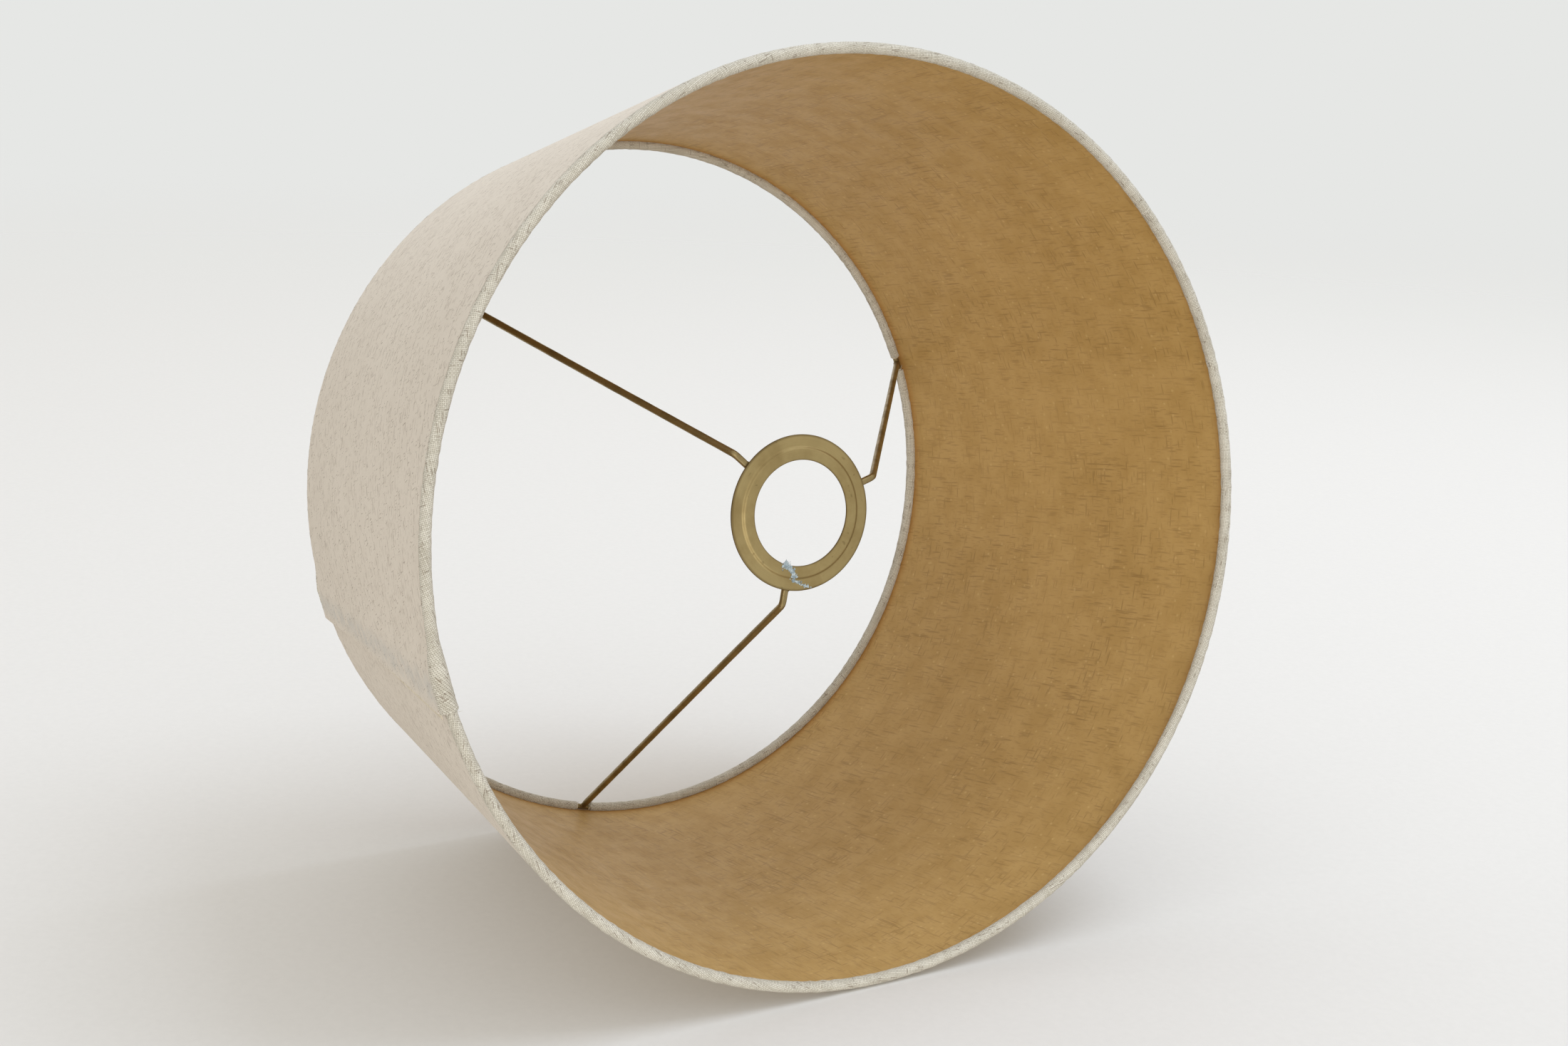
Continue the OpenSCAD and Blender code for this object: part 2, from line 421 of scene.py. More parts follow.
# the bluish band beside the seam: how far from the cut end it comes in and fades out, and its dark specks
stainLook = {
    "comesIn": (0.5 * mm, 6 * mm), "fades": (8 * mm, 17 * mm), "tint": colour(168, 176, 180), "share": 0.4,
    "speck": colour(70, 72, 74), "speckSpacing": 2.2 * mm, "speckShare": 0.9,
}


def addStain(tree, cloth, base):
    look = stainLook
    fromSeam, _ = splitVector(tree, put(tree, "UVMap", uv_map="seamMap").outputs[0])
    start = band(tree, fromSeam, *look["comesIn"])
    stop = sums(tree, "SUBTRACT", 1.0, band(tree, fromSeam, *look["fades"]))
    cloud = band(tree, noise(tree, cloth, 110.0, 5.0, 0.75, flat=True), 0.25, 0.7)
    stain = product(tree, start, stop, cloud)
    base = mixColour(tree, product(tree, stain, look["share"]), base, look["tint"])
    dark = product(tree, stain, specks(tree, cloth, look["speckSpacing"], 0.2, 0.12), look["speckShare"])
    return mixColour(tree, dark, base, look["speck"])


def makeLinen(name, look, stained=False):
    # threads in cloudy tones with painted shade in the gaps between them, then dashes on single threads,
    # flecks, and the seam's stain
    material, tree, shader = newMaterial(name, 0.88, sheen=0.15, specular=0.2)
    cloth = put(tree, "UVMap", uv_map="clothMap").outputs[0]
    weave = useGroup(tree, threadGroup, {"Vector": cloth, "Pitch": look["pitch"]})
    mottle = noise(tree, cloth, 70.0, 3.0, 0.6, flat=True)
    wide = noise(tree, cloth, 9.0, 2.0, 0.5, flat=True)
    tone = product(tree, band(tree, weave["Tone"], 0.3, 0.75), look["toneShare"])
    cloudy = sums(tree, "ADD", tone, product(tree, band(tree, mottle, 0.35, 0.75), 0.22))
    cloudy = sums(tree, "ADD", cloudy, product(tree, band(tree, wide, 0.3, 0.7), 0.18))
    base = mixColour(tree, cloudy, look["body"], look["shadeBody"])
    # painted shade in the hollows between the threads
    base = mixColour(tree, product(tree, weave["GapShade"], look["gapShadeShare"]), base, look["gap"])
    x, y = splitVector(tree, cloth)
    turned = joinVector(tree, y, x)
    pitch, level = look["slubPitch"], look["slubLevel"]
    around = dashes(tree, cloth, pitch, look["slubAround"], level, 0.07)
    upward = dashes(tree, turned, pitch, look["slubUpward"], level + 0.045, 0.07)
    streaks = product(tree, sums(tree, "MAXIMUM", around, upward), look["slubShare"])
    base = mixColour(tree, streaks, base, look["slub"])
    flecks = specks(tree, cloth, look["fleckSpacing"], look["fleckSize"], look["fleckChance"])
    base = mixColour(tree, product(tree, flecks, look["fleckShare"]), base, look["fleck"])
    if stained:
        base = addStain(tree, cloth, base)
    tree.links.new(base, shader.inputs["Base Color"])
    height = sums(tree, "MULTIPLY_ADD", streaks, 0.9, weave["Height"])
    height = sums(tree, "MULTIPLY_ADD", mottle, 1.2, height)
    addBump(tree, shader, height, look["bump"])
    return material


# edge is the colour of painted shade on the lining beside the rolled hems, with its reach in from each rim
goldLook = {
    "body": colour(190, 157, 98), "shadeBody": colour(172, 139, 80), "streak": colour(112, 82, 38),
    "knot": colour(212, 182, 124), "edge": colour(176, 118, 56), "roughness": 0.48,
    "linePitch": 0.7 * mm, "lineUpward": 11 * mm, "lineAround": 8 * mm, "finePitch": 0.45 * mm,
    "fineUpward": 5 * mm, "knotSpacing": 6 * mm, "hemShadeReach": 7 * mm, "bump": 0.05 * mm,
}


def makeGold():
    # satin film over the cloth: threads show through as soft darker lines both ways, and painted shade
    # darkens it beside both rims
    look = goldLook
    material, tree, shader = newMaterial("goldLaminate", look["roughness"], specular=0.3)
    cloth = put(tree, "UVMap", uv_map="clothMap").outputs[0]
    x, y = splitVector(tree, cloth)
    turned = joinVector(tree, y, x)
    mottle = noise(tree, cloth, 80.0, 4.0, 0.62, flat=True)
    wide = noise(tree, cloth, 12.0, 3.0, 0.5, flat=True)
    cloudy = sums(tree, "MULTIPLY_ADD", band(tree, mottle, 0.3, 0.72), 0.5,
                  product(tree, band(tree, wide, 0.3, 0.7), 0.35))
    base = mixColour(tree, cloudy, look["body"], look["shadeBody"])
    upward = dashes(tree, turned, look["linePitch"], look["lineUpward"], 0.56, 0.22)
    around = dashes(tree, cloth, look["linePitch"], look["lineAround"], 0.59, 0.22)
    fine = dashes(tree, turned, look["finePitch"], look["fineUpward"], 0.58, 0.15)
    patches = band(tree, noise(tree, cloth, 26.0, 3.0, 0.6, flat=True), 0.3, 0.7)
    streaks = sums(tree, "MAXIMUM", sums(tree, "MAXIMUM", upward, around), product(tree, fine, 0.6))
    streaks = product(tree, streaks, sums(tree, "MULTIPLY_ADD", patches, 0.2, 0.26))
    base = mixColour(tree, streaks, base, look["streak"])
    knots = specks(tree, cloth, look["knotSpacing"], 0.16, 0.25)
    base = mixColour(tree, product(tree, knots, 0.45), base, look["knot"])
    # a deeper, darker band within a few mm of each rim: painted shade beside the rolled hems
    _, along = splitVector(tree, put(tree, "UVMap", uv_map="seamMap").outputs[0])
    reach = look["hemShadeReach"]
    shadeByLowHem = sums(tree, "SUBTRACT", 1.0, band(tree, along, 1 * mm, reach))
    shadeByHighHem = band(tree, along, slant - reach, slant - 1 * mm)
    edge = product(tree, sums(tree, "MAXIMUM", shadeByLowHem, shadeByHighHem), 0.45)
    base = mixColour(tree, edge, base, look["edge"])
    tree.links.new(base, shader.inputs["Base Color"])
    weave = useGroup(tree, threadGroup, {"Vector": cloth, "Pitch": linenLook["pitch"]})
    height = sums(tree, "MULTIPLY_ADD", streaks, 1.5, product(tree, weave["Height"], 0.25))
    height = sums(tree, "MULTIPLY_ADD", mottle, 2.5, height)
    addBump(tree, shader, height, look["bump"])
    gloss = sums(tree, "MULTIPLY_ADD", mottle, 0.25, look["roughness"] - 0.12)
    tree.links.new(gloss, shader.inputs["Roughness"])
    return material


brassLook = {
    "wire": (colour(160, 143, 104), colour(126, 110, 72), colour(72, 58, 34)),
    "flange": (colour(168, 151, 106), colour(142, 124, 82), colour(82, 66, 36)),
}


def makeBrass(name, tones, roughness, patchScale, spotShare=0.7, mapName=None):
    # lacquered brass: a pale and a deep tone in patches, dark spots, and drawing marks in the gloss; on the
    # flange, painted shade along the outer rim and the hole's lip
    pale, deep, dark = tones
    material, tree, shader = newMaterial(name, roughness, metallic=0.85, specular=0.5)
    if mapName:
        place = put(tree, "UVMap", uv_map=mapName).outputs[0]
    else:
        place = put(tree, "TexCoord").outputs["Object"]
    wear = useGroup(tree, metalWearGroup, {"Vector": place, "PatchScale": patchScale, "ScratchScale": 2600.0})
    base = mixColour(tree, wear["Patch"], pale, deep)
    base = mixColour(tree, product(tree, wear["Scratch"], 0.3), base, deep)
    base = mixColour(tree, product(tree, wear["Spot"], spotShare), base, dark)
    if mapName == "flangeMap":
        # darker bands at the outer rim and at the hole's lip: painted shade on the turned edges
        _, outFrom = splitVector(tree, place)
        rim = band(tree, outFrom, flangeHigh.x - 1.1 * mm, flangeHigh.x - 0.2 * mm)
        lip = sums(tree, "SUBTRACT", 1.0, band(tree, outFrom, holeRadius, holeRadius + 0.7 * mm))
        turnedEdgeShade = product(tree, sums(tree, "MAXIMUM", rim, lip), 0.55)
        base = mixColour(tree, turnedEdgeShade, base, dark)
    tree.links.new(base, shader.inputs["Base Color"])
    gloss = sums(tree, "MULTIPLY_ADD", wear["Scratch"], 0.12, roughness - 0.12)
    gloss = sums(tree, "MULTIPLY_ADD", wear["Patch"], 0.16, gloss)
    tree.links.new(gloss, shader.inputs["Roughness"])
    addBump(tree, shader, sums(tree, "ADD", wear["Scratch"], wear["Patch"]), 0.02 * mm)
    return material


def makePlain(name, pale, deep, roughness, scale, bump):
    # a matt finish with two tones in small clouds and a fine grain
    material, tree, shader = newMaterial(name, roughness)
    place = put(tree, "TexCoord").outputs["Object"]
    cloud = noise(tree, place, scale, 4.0, 0.65)
    base = mixColour(tree, band(tree, cloud, 0.3, 0.7), pale, deep)
    tree.links.new(base, shader.inputs["Base Color"])
    addBump(tree, shader, cloud, bump)
    return material


linenCloth = makeLinen("linenCloth", linenLook, stained=True)
hemCloth = makeLinen("hemCloth", hemLook)
goldLaminate = makeGold()
wireBrass = makeBrass("wireBrass", brassLook["wire"], 0.42, 140.0)
spokeBrass = makeBrass("spokeBrass", brassLook["wire"], 0.40, 120.0, mapName="wireMap")
flangeBrass = makeBrass("flangeBrass", brassLook["flange"], 0.46, 45.0, spotShare=0.3, mapName="flangeMap")
weldMetal = makePlain("weldMetal", colour(146, 124, 82), colour(96, 78, 48), 0.5, 900.0, 0.1 * mm)
weldMetal.node_tree.nodes["Principled BSDF"].inputs["Metallic"].default_value = 0.7
tapeFilm = makePlain("tapeFilm", colour(226, 218, 198), colour(196, 184, 158), 0.5, 400.0, 0.05 * mm)
driedResidue = makePlain("driedResidue", colour(190, 205, 212), colour(120, 138, 148), 0.7, 900.0, 0.2 * mm)
print("materials made")


# ---- Cover and lining ----

coverShape = {"turns": 760, "rises": 44, "edgeStand": 0.9 * mm, "wave": 0.12 * mm, "lowMargin": 0.7 * mm,
              "highMargin": -0.35 * mm, "linerDepth": 0.35 * mm}


def clothGrid(turns, rises, low, high, gap=0.0):
    # angles from the outer cut end round to the inner one, and distances up the panel
    along = np.linspace(low, high, rises)[None, :] * np.ones((turns, 1))
    share = np.concatenate([np.linspace(0, 0.05, turns // 6, endpoint=False),
                            np.linspace(0.05, 1, turns - turns // 6)])[:, None]
    fromEnd = share * (2 * math.pi + lapAngle - gap) + 0 * along
    return seamEnd(along) + fromEnd, fromEnd, along


def standOff(fromEnd, along):
    # the lap's lift, more where the bulky rims hold the cut end away
    rims = np.exp(-((along / (0.16 * slant)) ** 2)) + np.exp(-(((slant - along) / (0.16 * slant)) ** 2))
    curl = coverShape["edgeStand"] * rims * np.exp(-fromEnd * lowRadius / (9 * mm))
    return shade["lapLift"] * lapLift(fromEnd) + curl * lapLift(fromEnd)


def panelWave(angle, along):
    # the stiff panel is not quite round: slow swells that die out at the rings
    belly = np.sin(math.pi * np.clip(along / slant, 0, 1))
    return belly * ripple(angle, 5, (2, 9), coverShape["wave"])


def panelMaps(angle, fromEnd, along):
    return {"clothMap": clothMap(angle, along), "seamMap": np.stack([fromEnd * lowRadius, along], -1)}


def makePanel(name, innerAcross, outerAcross, lowMargin, highMargin, **settings):
    turns, rises = coverShape["turns"], coverShape["rises"]
    angle, fromEnd, along = clothGrid(turns, rises, lowMargin, slant - highMargin, endGap)
    off = standOff(fromEnd, along) + panelWave(angle, along)
    outer = onPanel(angle, outerAcross + off, along)
    inner = onPanel(angle, innerAcross + off, along)
    return sheetPiece(name, outer, inner, panelMaps(angle, fromEnd, along), **settings)


# the lining's edges stop just clear of the ring's wire
linerInner = tapeRadius - coverShape["linerDepth"]
linerMargin = math.sqrt(wireRadius ** 2 - linerInner ** 2) + 0.05 * mm
linenCover = makePanel("linenCover", tapeRadius + 0.01 * mm, rollRadius, coverShape["lowMargin"],
                       coverShape["highMargin"], material=linenCloth, slot="linen", stands=("linen_panel",))
goldLining = makePanel("goldLining", linerInner, tapeRadius - 0.01 * mm, linerMargin, linerMargin,
                       material=goldLaminate, slot="gold_liner", stands=("gold_liner",))
print("cover and lining made")


# ---- Rolled hems ----

hemShape = {"stations": 1300, "rounds": 26, "startTurn": -4.0, "endTurn": 303.0, "lump": 0.09 * mm,
            "pucker": 0.05 * mm, "lapBulk": 0.54 * mm, "fray": 0.25 * mm}


def hemSection(angle, turn, fromEnd, seed):
    # the roll's outer and inner radius: small lumps, slanting puckers, and more bulk where two layers lie
    lumps = ripple(angle + 0.004 * turn, seed, (40, 260), hemShape["lump"])
    pucker = ripple(angle + 0.035 * turn, seed + 1, (160, 420), hemShape["pucker"])
    raised = lapLift(fromEnd)
    side = 0.62 + 0.38 * np.cos(turn)
    lift = shade["lapLift"] * side
    outer = rollRadius + 0.03 * mm + lumps + pucker + raised * (lift + hemShape["lapBulk"])
    inner = tapeRadius + 0.01 * mm + raised * lift
    return outer, inner


def makeHem(name, fromAngle, toAngle, side, seed, lapped=None, **settings):
    # cloth rolled round a ring: side is -1 at the lower rim, 1 at the upper; turn runs out over the rim
    stations = max(60, int(hemShape["stations"] * (toAngle - fromAngle) / (2 * math.pi)))
    turn = np.radians(np.linspace(hemShape["startTurn"], hemShape["endTurn"], hemShape["rounds"]))[None, :]
    angle = np.linspace(fromAngle, toAngle, stations)[:, None] + 0 * turn
    turn = turn + 0 * angle
    fray = hemShape["fray"] / lowRadius * (ripple(turn, seed + 7, (3, 14), 1.0))
    share = np.linspace(-1, 1, stations)[:, None]
    angle = angle + fray * share ** 15
    fromEnd = angle - lapped if lapped is not None else np.full_like(angle, 9.0)
    outerRadius, innerRadius = hemSection(angle, turn, fromEnd, seed)
    edge = 0.0 if side < 0 else slant
    outer, inner = (onPanel(angle, radius * np.cos(turn), edge + side * radius * np.sin(turn))
                    for radius in (outerRadius, innerRadius))
    maps = {"clothMap": clothMap(angle, edge + side * rollRadius * turn)}
    return sheetPiece(name, outer, inner, maps, material=hemCloth, slot="hem_linen", **settings)


lowSeam = float(seamEnd(np.array(0.0)))
highSeam = float(seamEnd(np.array(slant)))
bottomHem = makeHem("bottomHem", lowSeam, lowSeam + 2 * math.pi + lapAngle - endGap, -1, 11,
                    lapped=lowSeam, stands=("bottom_hem",))
notch = shade["notchWidth"] / highRadius / 2
spokeAt = {key: math.radians(value) for key, value in shade["spokeAngles"].items()}
frontAngle, rightAngle, leftAngle = (spokeAt[key] for key in ("spoke_front", "spoke_right", "spoke_left"))
topHems = [
    makeHem("topHemRight", frontAngle + notch, rightAngle + 2 * math.pi - notch, 1, 21,
            stands=("top_hem_right",)),
    makeHem("topHemLeft", leftAngle + notch, frontAngle - notch, 1, 31, stands=("top_hem_left",)),
    makeHem("topHemBack", highSeam, leftAngle - notch, 1, 41, lapped=highSeam, stands=("top_hem_back",)),
    makeHem("topHemUnderLap", rightAngle + notch, highSeam + lapAngle - endGap, 1, 51),
]
print("hems made")


# ---- Spokes, welds and the lamp-holder flange ----

spokeShape = {"bend": 3.4 * mm, "footStart": 26.5 * mm, "footLift": 1.2 * mm, "kneeRadius": 37.2 * mm,
              "sway": 0.25 * mm, "sides": 20}
spokeLow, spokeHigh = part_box("spoke_front")
spokeRadius = (spokeHigh.x - spokeLow.x) / 2
footHeight = flangeHigh.z + spokeShape["footLift"]


def spokePath():
    # in a spoke's own plane, as radius and height: a foot, an arc of the bend's radius, and the climb
    knee = np.array([spokeShape["kneeRadius"], footHeight])
    end = np.array([highRadius, highHeight])
    climb = (end - knee) / np.linalg.norm(end - knee)
    end = end - climb * (wireRadius + 0.1 * mm)
    slope = math.atan2(climb[1], climb[0])
    setBack = spokeShape["bend"] * math.tan(slope / 2)
    centre = knee + np.array([-setBack, spokeShape["bend"]])
    sweep = np.linspace(0, slope, 14)
    arc = centre + spokeShape["bend"] * np.stack([np.sin(sweep), -np.cos(sweep)], -1)
    foot = np.linspace([spokeShape["footStart"], footHeight], arc[0], 8, endpoint=False)
    run = arc[-1] + (end - arc[-1]) * np.linspace(0, 1, 60)[1:, None]
    return np.concatenate([foot, arc, run])


def outAndSide(turn):
    # the level directions away from the axis and along the circle
    return np.array([math.cos(turn), math.sin(turn), 0]), np.array([-math.sin(turn), math.cos(turn), 0])


def makeSpoke(node, name):
    # a round wire along the spoke's path, pressed a little flat under its foot and never quite straight
    turn = spokeAt[node]
    plane = spokePath()
    share = np.linspace(0, 1, len(plane))
    length = np.concatenate([[0], np.cumsum(np.linalg.norm(np.diff(plane, axis=0), axis=1))])
    sway = spokeShape["sway"] * np.sin(math.pi * share) * np.sin(2.3 * share + turn)
    out, across = outAndSide(turn)
    path = plane[:, :1] * out + across * sway[:, None] + plane[:, 1:] * np.array([0, 0, 1])
    radius = (spokeRadius - 0.01 * mm) * (1 + 0.012 * np.sin(length * 420 + turn))
    radius[[0, -1]] *= 0.86
    grid = tubeGrid(path, radius, spokeShape["sides"], across)
    grid[..., 2] = np.maximum(grid[..., 2], flangeHigh.z + 0.005 * mm)
    points, faces = closedTube(grid)
    rows, sides = grid.shape[:2]
    around = np.linspace(0, 2 * math.pi * spokeRadius, sides)[None, :] + np.zeros((rows, 1))
    lines = np.stack([length[:, None] + 0 * around, around], -1).reshape(-1, 2)
    lines = np.concatenate([lines, [[0, 0], [length[-1], 0]]])
    return addPiece(name, points, faces.tolist(), {"wireMap": lines[faces]}, material=spokeBrass,
                    slot="ring_wire", stands=(node,))


for node, name in (("spoke_front", "spokeFront"), ("spoke_right", "spokeRight"), ("spoke_left", "spokeLeft")):
    makeSpoke(node, name)


def lump(centre, axes, sizes, seed, rings=10, sides=14):
    # a closed bead: a sphere in two angles, stretched along three axes and roughened by slow waves
    chance = np.random.default_rng(seed)
    up = np.linspace(0.02, math.pi - 0.02, rings)[:, None]
    turn = np.linspace(0, 2 * math.pi, sides, endpoint=False)[None, :]
    rough = 1 + 0.13 * np.sin(3 * turn + chance.uniform(0, 6)) * np.sin(up)
    rough = rough + 0.1 * np.sin(2 * up + 2 * turn)
    unit = np.stack([np.sin(up) * np.cos(turn), np.sin(up) * np.sin(turn), np.cos(up) + 0 * turn], -1)
    grid = np.asarray(centre) + (unit * rough[..., None] * np.asarray(sizes)) @ np.asarray(axes, float)
    return closedTube(grid)


# each size is a bead's half lengths along its own three axes
weldShape = {"ringBead": (1.5 * mm, 1.4 * mm, 0.75 * mm), "footBead": (2.2 * mm, 0.7 * mm, 0.65 * mm),
             "footOut": 2.4 * mm, "footApart": 1.15 * mm, "footLift": 0.15 * mm}


def makeWelds():
    # a collar where each spoke's end meets the ring, and a fillet along each side of its foot
    ringBeads, footBeads = [], []
    plane = spokePath()
    climb = (plane[-1] - plane[-2]) / np.linalg.norm(plane[-1] - plane[-2])
    for count, turn in enumerate(spokeAt.values()):
        out, side = outAndSide(turn)
        rise = np.array([0, 0, 1.0])
        along = out * climb[0] + rise * climb[1]
        normal = np.cross(along, side)
        end = plane[-1][0] * out + plane[-1][1] * rise
        ringAxes, footAxes = [side, normal, along], [out, side, rise]
        ringBeads.append(lump(end - along * 0.1 * mm, ringAxes, weldShape["ringBead"], 60 + count))
        for hand in (-1, 1):
            foot = out * (spokeShape["footStart"] + weldShape["footOut"])
            foot = foot + side * hand * weldShape["footApart"] + rise * (flangeHigh.z + weldShape["footLift"])
            footBeads.append(lump(foot, footAxes, weldShape["footBead"], 70 + 2 * count + hand))
    welds = ("ringWelds", ringBeads, "top_ring_welds"), ("footWelds", footBeads, "fitter_welds")
    for name, beads, node in welds:
        points, faces = joinParts(beads)
        addPiece(name, points, faces.tolist(), material=weldMetal, slot="ring_wire", stands=(node,))


makeWelds()

flangeShape = {"stepRadius": 25.75 * mm, "stepHeight": 0.8 * mm, "stepIn": 0.3 * mm, "stepOut": 0.6 * mm,
               "stepSlip": 0.4 * mm, "wave": 0.03 * mm, "turns": 256}
flangeThickness = flangeHigh.z - flangeLow.z - flangeShape["stepHeight"]


def roundedProfile(corners, softness, steps=6):
    # each corner of a closed outline is replaced by a short curve that starts softness before it
    corners = np.asarray(corners, float)
    before, after = np.roll(corners, 1, axis=0), np.roll(corners, -1, axis=0)
    soft = np.asarray(softness)[:, None]
    start = corners + (before - corners) / np.linalg.norm(before - corners, axis=1)[:, None] * soft
    stop = corners + (after - corners) / np.linalg.norm(after - corners, axis=1)[:, None] * soft
    t = np.linspace(0, 1, steps)[None, :, None]
    curve = (1 - t) ** 2 * start[:, None] + 2 * t * (1 - t) * corners[:, None] + t ** 2 * stop[:, None]
    return curve.reshape(-1, 2)


def makeFlange():
    # a stamped section turned about the axis: flat rim, pressed step, lower inner part with a softened lip
    step, drop = flangeShape["stepRadius"], flangeShape["stepHeight"]
    rim, top = flangeHigh.x, flangeHigh.z
    stepIn, stepOut, slip = (flangeShape[key] for key in ("stepIn", "stepOut", "stepSlip"))
    inside, outside = (top - drop, top - drop - flangeThickness), (top, top - flangeThickness)
    corners = [(holeRadius, inside[0]), (holeRadius, inside[1]), (step - stepIn, inside[1]),
               (step + stepOut, outside[1]), (rim, outside[1]), (rim, outside[0]),
               (step + stepOut - slip, outside[0]), (step - stepIn - slip, inside[0])]
    softness = np.array([0.45, 0.45, 0.5, 0.5, 0.45, 0.35, 0.5, 0.5]) * mm
    outline = roundedProfile(corners, softness)
    turn = np.linspace(0, 2 * math.pi, flangeShape["turns"], endpoint=False)[:, None]
    radius = outline[None, :, 0] + 0 * turn
    height = outline[None, :, 1] - np.abs(flangeShape["wave"] * np.sin(3 * turn + 1) * (radius / rim))
    grid = np.stack([radius * np.cos(turn), radius * np.sin(turn), height], -1)
    rows, columns = grid.shape[:2]
    faces = outward(grid.reshape(-1, 3), gridFaces(rows, columns, True, True))
    places = np.stack([turn * (holeRadius + rim) / 2 + 0 * radius, radius], -1).reshape(-1, 2)
    return addPiece("lampHolderFlange", grid.reshape(-1, 3), faces.tolist(), {"flangeMap": places[faces]},
                    material=flangeBrass, slot="stamped_flange", stands=("fitter_ring",))


makeFlange()
print("frame made")


# ---- Small traces of use ----

# stations of the track from the hole to the rim: where it runs, how wide it is and how much is left of it
residueTrack = {
    "radius": np.array([20.6, 21.6, 22.8, 24.4, 26.6, 28.4, 30.2]) * mm,
    "turn": np.radians([39.0, 37.0, 30.5, 27.0, 26.5, 17.5, 11.0]),
    "width": np.array([2.5, 2.7, 1.9, 1.2, 1.5, 0.8, 0.8]) * mm,
    "amount": np.array([1.0, 1.0, 0.9, 0.75, 0.9, 0.3, 0.6]),
}
residueCrumbCount = 330


def makeResidue():
    # dried crumbs scattered about the track, on the flange's lower face
    chance = np.random.default_rng(8)
    parts = []
    stations = range(len(residueTrack["radius"]))
    for step in np.sort(chance.uniform(0, stations[-1], residueCrumbCount)):
        radius, turn, width, amount = (np.interp(step, stations, row) for row in residueTrack.values())
        if chance.random() < amount:
            reach = radius + chance.normal(0, 0.25) * width
            angle = turn + chance.normal(0, 0.38) * width / radius
            low = flangeLow.z if reach < flangeShape["stepRadius"] else flangeHigh.z - flangeThickness
            size = chance.uniform(0.22, 0.6) * mm
            out, side = outAndSide(chance.uniform(0, math.pi))
            axes = [out, side, [0, 0, 1]]
            centre = [reach * math.cos(angle), reach * math.sin(angle), low - 0.15 * size]
            sizes = (size, size * chance.uniform(0.5, 0.9), size * chance.uniform(0.35, 0.6))
            parts.append(lump(centre, axes, sizes, int(chance.integers(1, 999)), rings=5, sides=6))
    points, faces = joinParts(parts)
    return addPiece("residueCrumbs", points, faces.tolist(), material=driedResidue, slot="stamped_flange")


makeResidue()


def threadStrand(start, heading, length, radius, curl, chance):
    # a thin tube along a curve that bends away from its heading by a growing random turn
    t = np.linspace(0, 1, 9)[:, None]
    heading = np.asarray(heading, float) / np.linalg.norm(heading)
    side = np.cross(heading, chance.normal(size=3))
    side /= np.linalg.norm(side)
    path = np.asarray(start) + heading * length * t + side * curl * length * t ** 2
    grid = tubeGrid(path, radius * (1 - 0.5 * t[:, 0]), 6, np.cross(heading, side))
    return closedTube(grid)


def hemSpot(angle, turn, side, radius):
    # a point at that radius about the ring's centre line, in a rolled hem
    edge = 0.0 if side < 0 else slant
    return onPanel(np.array(angle), radius * math.cos(turn), edge + side * radius * math.sin(turn))


threadShape = {"radius": 0.09 * mm, "short": (0.6, 1.8), "long": (2.0, 3.6), "shortShare": 0.8, "curl": 0.6,
               "root": 0.3 * mm, "depth": 0.25 * mm, "lapStand": 1.3 * mm, "atNotch": 10, "atLowSeam": 16,
               "atHighSeam": 12}


def makeLooseThreads():
    # frayed ends: warp and weft stubs at each cut end of the hems, a few long ones among them
    chance = np.random.default_rng(3)
    look = threadShape
    ends = [(angle + hand * notch, -hand, 1, 0.0, look["atNotch"])
            for angle in spokeAt.values() for hand in (-1, 1)]
    ends += [(lowSeam, -1, -1, look["lapStand"], look["atLowSeam"])]
    ends += [(highSeam, -1, 1, look["lapStand"], look["atHighSeam"])]
    parts = []
    for angle, into, side, stand, count in ends:
        tangent = outAndSide(angle)[1] * into
        for _ in range(count):
            turn = chance.uniform(0.3, 4.6)
            start = hemSpot(angle, turn, side, rollRadius + stand - look["depth"]) - tangent * look["root"]
            lengths = look["short"] if chance.random() < look["shortShare"] else look["long"]
            length = chance.uniform(*lengths) * mm
            heading = tangent + chance.normal(0, 0.35, 3)
            parts.append(threadStrand(start, heading, length, look["radius"], look["curl"], chance))
    points, faces = joinParts(parts)
    maps = {"clothMap": points[faces][..., :2]}
    return addPiece("looseThreads", points, faces.tolist(), maps, material=hemCloth, slot="hem_linen")


curlShape = {"bend": 2.6, "lift": 0.9, "thickness": 0.22 * mm}


def makeCurl(name, angle, into, width, length, seed, turn):
    # a small tongue of the cut cloth that curls up from the end of a hem
    outAlong = np.linspace(0, 1, 14)[:, None]
    sideways = np.linspace(-0.5, 0.5, 8)[None, :]
    bend = curlShape["bend"] * outAlong
    tangent = outAndSide(angle)[1] * into
    spot = hemSpot(angle, turn, 1, rollRadius)
    axis = onPanel(np.array(angle), 0.0, slant)
    normal = (spot - axis) / np.linalg.norm(spot - axis)
    across = np.cross(tangent, normal)
    taper = 1 - 0.35 * outAlong + 0.08 * np.sin(9 * sideways + seed)
    along = length * np.sin(bend) / curlShape["bend"]
    rise = length * (1 - np.cos(bend)) / curlShape["bend"] * curlShape["lift"]
    middle = spot + tangent * along[..., None] + normal * rise[..., None]
    middle = middle + across * (sideways * width * taper)[..., None]
    half = normal * curlShape["thickness"]
    maps = {"clothMap": np.stack(np.broadcast_arrays(outAlong * length, sideways * width), -1)}
    return sheetPiece(name, middle + half, middle - half, maps, material=hemCloth, slot="hem_linen")


looseThreads = makeLooseThreads()
curls = [makeCurl("notchCurlFront", frontAngle + notch, -1, 2.2 * mm, 3.4 * mm, 1, 3.6),
         makeCurl("notchCurlRight", rightAngle - notch, 1, 2.4 * mm, 2.6 * mm, 2, 3.9)]
print("traces of use made")


# ---- Finishes of the nodes that stay ----

for node, material in {"bottom_ring": wireBrass, "top_ring": wireBrass, "seam_tape": tapeFilm,
                       "bottom_ring_tape": tapeFilm, "top_ring_tape": tapeFilm}.items():
    nodes[node].data.materials.clear()
    nodes[node].data.materials.append(material)


# ---- Floor, light and camera ----

